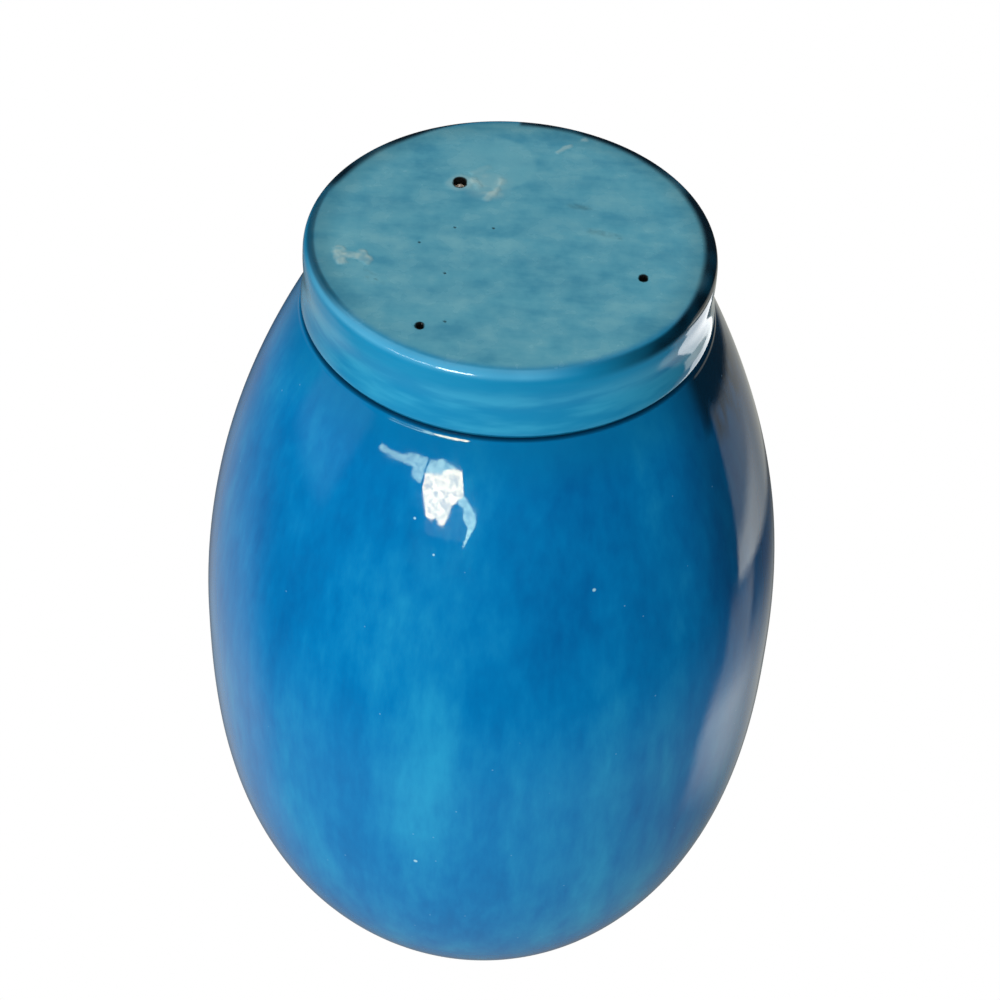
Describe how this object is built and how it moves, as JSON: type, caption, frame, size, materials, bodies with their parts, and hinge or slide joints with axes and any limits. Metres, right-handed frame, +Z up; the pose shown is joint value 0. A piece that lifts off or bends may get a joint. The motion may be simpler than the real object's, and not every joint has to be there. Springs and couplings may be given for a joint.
{
  "type": "bud vase",
  "caption": "Ovoid bud vase of glazed earthenware on a thick turned disc foot, with a narrow neck and rolled lip. Holds a few cut stems in water.",
  "frame": {"origin": "middle of the flat underside of the foot, where the vase stands", "axes": "+Z up along the vase's turning axis, from the foot to the mouth; the picture was taken from below the foot on the -Y side"},
  "size_m": [0.1008, 0.1008, 0.168],
  "materials": {
    "clay": "fired buff earthenware, matt",
    "base_glaze": "thin greyed teal glaze, satin gloss",
    "foot_glaze": "teal blue glaze, gloss",
    "body_glaze": "deep cerulean glaze, high gloss",
    "liner_glaze": "blue liner glaze, gloss",
    "fireclay": "pale kiln-furniture clay, matt"
  },
  "bodies": {
    "root": {"foot_disc": "clay", "body_wall": "clay", "neck_collar": "clay", "base_glaze": "base_glaze", "foot_glaze": "foot_glaze", "body_glaze": "body_glaze", "neck_glaze": "body_glaze", "liner_glaze": "liner_glaze", "stilt_tip": "fireclay"}
  },
  "joints": []
}
